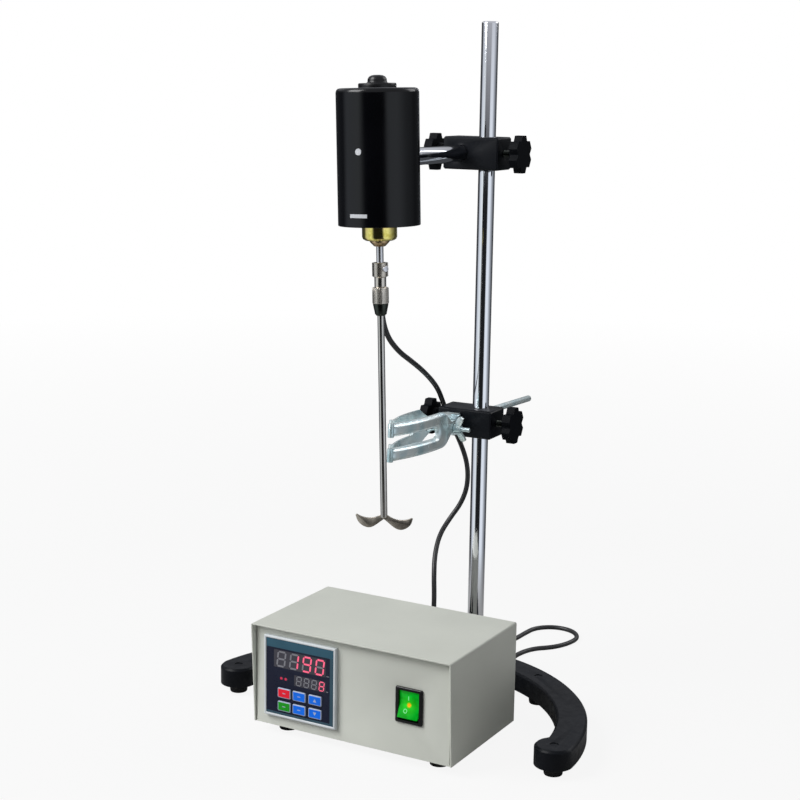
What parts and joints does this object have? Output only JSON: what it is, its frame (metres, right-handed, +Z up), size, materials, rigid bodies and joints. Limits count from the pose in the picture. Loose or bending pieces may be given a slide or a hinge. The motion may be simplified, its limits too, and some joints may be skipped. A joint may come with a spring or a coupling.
{
  "type": "overhead stirrer",
  "caption": "Overhead laboratory stirrer: motor, chuck and bladed stirring rod on a horseshoe rod stand, with a forked flask clamp and a separate speed controller with a panel meter.",
  "frame": {"origin": "on the bench, in the middle of the stirrer's footprint, measured without its cords", "axes": "+X to the right along the line of the front feet, +Y to the back, away from the controller's front, +Z up along the stand rod"},
  "size_m": [0.361, 0.3992, 0.6108],
  "materials": {
    "base_black": "black enamel on cast iron",
    "foot_rubber": "black rubber",
    "rod_chrome": "chrome plate",
    "zinc_steel": "bright bluish zinc plate",
    "plain_steel": "plain steel",
    "head_black": "satin black paint",
    "knob_black": "black moulded plastic",
    "motor_black": "gloss black enamel",
    "cap_black": "black plastic",
    "passivated_gold": "yellow passivated zinc",
    "bronze": "plain bronze",
    "chuck_nickel": "nickel plate",
    "nose_dark": "blackened steel",
    "stir_steel": "polished stainless steel",
    "blade_steel": "stainless steel, slightly browned by welding",
    "case_cream": "pale grey-green powder coat",
    "bezel_silver": "silver-white moulded plastic",
    "face_navy": "dark navy printed film",
    "display_dark": "dark red display window",
    "meter_black": "black moulded plastic",
    "key_red": "red film",
    "key_green": "green film",
    "key_blue": "blue film",
    "switch_black": "black plastic",
    "rocker_green": "translucent green plastic",
    "board_green": "printed circuit board",
    "iron_core": "laminated iron",
    "carbon": "carbon brush stock",
    "cord_black": "black cord sheath",
    "plug_black": "black moulded plastic"
  },
  "bodies": {
    "stand": {"base_casting": "base_black", "base_feet": "foot_rubber", "base_foot_screws": "plain_steel", "stand_rod": "rod_chrome", "rod_nut": "plain_steel", "box_cover": "case_cream", "box_chassis": "case_cream", "case_screws": "plain_steel", "box_feet": "foot_rubber", "meter_bezel": "bezel_silver", "meter_face": "face_navy", "meter_displays": "display_dark", "meter_case": "meter_black", "switch_body": "switch_black", "control_board": "board_green", "transformer": "iron_core", "motor_socket": "plain_steel", "motor_plug": "plug_black", "cord_gland": "plug_black", "mains_cord": "cord_black", "mains_coil": "cord_black", "mains_plug": "plug_black", "motor_lead_lower": "cord_black"},
    "upper_head": {"upper_boss_head": "head_black", "motor_lead_upper": "cord_black"},
    "motor": {"motor_arm": "rod_chrome", "motor_cover": "motor_black", "top_cap": "cap_black", "end_plate": "passivated_gold", "end_plate_screws": "plain_steel", "output_bush": "bronze", "shaft_bearings": "plain_steel", "field_ring": "iron_core", "brushes": "carbon", "lead_grommet": "plug_black"},
    "rotor": {"motor_shaft": "plain_steel", "armature": "iron_core", "chuck_body": "chuck_nickel", "chuck_set_screw": "plain_steel", "chuck_nose": "nose_dark"},
    "chuck_sleeve": {"chuck_sleeve": "chuck_nickel"},
    "stirrer": {"stir_rod": "stir_steel", "stir_blade": "blade_steel"},
    "lower_head": {"lower_boss_head": "head_black"},
    "flask_clamp": {"clamp_rod": "zinc_steel", "clamp_body": "zinc_steel", "rear_jaw": "zinc_steel"},
    "front_jaw": {"front_jaw": "zinc_steel"},
    "wing_screw": {"wing_screw": "zinc_steel"},
    "upper_rod_knob": {"upper_rod_knob": "knob_black"},
    "upper_side_knob": {"upper_side_knob": "knob_black"},
    "lower_rod_knob": {"lower_rod_knob": "knob_black"},
    "lower_side_knob": {"lower_side_knob": "knob_black"},
    "switch_rocker": {"switch_rocker": "rocker_green"},
    "key_1_1": {"key_1_1": "key_red"},
    "key_1_2": {"key_1_2": "key_blue"},
    "key_1_3": {"key_1_3": "key_blue"},
    "key_2_1": {"key_2_1": "key_green"},
    "key_2_2": {"key_2_2": "key_blue"},
    "key_2_3": {"key_2_3": "key_blue"}
  },
  "joints": [
    {"name": "upper_head_height", "type": "slide", "parent": "stand", "child": "upper_head", "axis": [0, 0, 1], "range_m": [-0.06, 0.095], "deforming": ["motor_lead_lower"]},
    {"name": "arm_reach", "type": "slide", "parent": "upper_head", "child": "motor", "axis": [0.0906, -0.9959, 0], "range_m": [-0.008, 0.018], "deforming": ["motor_lead_upper"]},
    {"name": "shaft_spin", "type": "hinge", "parent": "motor", "child": "rotor", "pos_m": [-0.0041, -0.1359, 0.4956], "axis": [-0.0322, -0.0029, 0.9995], "continuous": true},
    {"name": "sleeve_turn", "type": "hinge", "parent": "rotor", "child": "chuck_sleeve", "pos_m": [-0.0041, -0.1359, 0.4956], "axis": [-0.0322, -0.0029, 0.9995], "range_deg": [0, 300]},
    {"name": "stir_rod_height", "type": "slide", "parent": "rotor", "child": "stirrer", "axis": [-0.0322, -0.0029, 0.9995], "range_m": [-0.01, 0.012]},
    {"name": "lower_head_height", "type": "slide", "parent": "stand", "child": "lower_head", "axis": [0, 0, 1], "range_m": [-0.08, 0.08]},
    {"name": "clamp_roll", "type": "hinge", "parent": "lower_head", "child": "flask_clamp", "pos_m": [-0.01943, 0.03247, 0.2503], "axis": [0.0871, -0.9954, 0.0401], "continuous": true},
    {"name": "jaw_swing", "type": "hinge", "parent": "flask_clamp", "child": "front_jaw", "pos_m": [-0.01142, 0.00409, 0.25146], "axis": [-0.0035, 0.04, 0.9992], "range_deg": [0, 18]},
    {"name": "wing_screw_turn", "type": "hinge", "parent": "front_jaw", "child": "wing_screw", "pos_m": [-0.01602, -0.00643, 0.24987], "axis": [0.9962, 0.0872, 0], "continuous": true},
    {"name": "upper_rod_knob_turn", "type": "hinge", "parent": "upper_head", "child": "upper_rod_knob", "pos_m": [0, 0.03417, 0.4956], "axis": [0.9959, 0.0906, 0], "continuous": true},
    {"name": "upper_side_knob_turn", "type": "hinge", "parent": "upper_head", "child": "upper_side_knob", "pos_m": [0, 0.03417, 0.4956], "axis": [0.9959, 0.0906, 0], "continuous": true},
    {"name": "lower_rod_knob_turn", "type": "hinge", "parent": "lower_head", "child": "lower_rod_knob", "pos_m": [0, 0.03417, 0.2503], "axis": [0.9962, 0.0872, 0], "continuous": true},
    {"name": "lower_side_knob_turn", "type": "hinge", "parent": "lower_head", "child": "lower_side_knob", "pos_m": [0, 0.03417, 0.2503], "axis": [0.9962, 0.0872, 0], "continuous": true},
    {"name": "rocker_tip", "type": "hinge", "parent": "stand", "child": "switch_rocker", "pos_m": [0.05892, -0.171, 0.054], "axis": [0.9983, 0.0576, 0], "range_deg": [0, 22]},
    {"name": "key_1_1_press", "type": "slide", "parent": "stand", "child": "key_1_1", "axis": [-0.0576, 0.9983, 0], "range_m": [0, 0.0005], "stiffness_N_per_m": 300, "springref_m": -0.001},
    {"name": "key_1_2_press", "type": "slide", "parent": "stand", "child": "key_1_2", "axis": [-0.0576, 0.9983, 0], "range_m": [0, 0.0005], "stiffness_N_per_m": 300, "springref_m": -0.001},
    {"name": "key_1_3_press", "type": "slide", "parent": "stand", "child": "key_1_3", "axis": [-0.0576, 0.9983, 0], "range_m": [0, 0.0005], "stiffness_N_per_m": 300, "springref_m": -0.001},
    {"name": "key_2_1_press", "type": "slide", "parent": "stand", "child": "key_2_1", "axis": [-0.0576, 0.9983, 0], "range_m": [0, 0.0005], "stiffness_N_per_m": 300, "springref_m": -0.001},
    {"name": "key_2_2_press", "type": "slide", "parent": "stand", "child": "key_2_2", "axis": [-0.0576, 0.9983, 0], "range_m": [0, 0.0005], "stiffness_N_per_m": 300, "springref_m": -0.001},
    {"name": "key_2_3_press", "type": "slide", "parent": "stand", "child": "key_2_3", "axis": [-0.0576, 0.9983, 0], "range_m": [0, 0.0005], "stiffness_N_per_m": 300, "springref_m": -0.001}
  ]
}
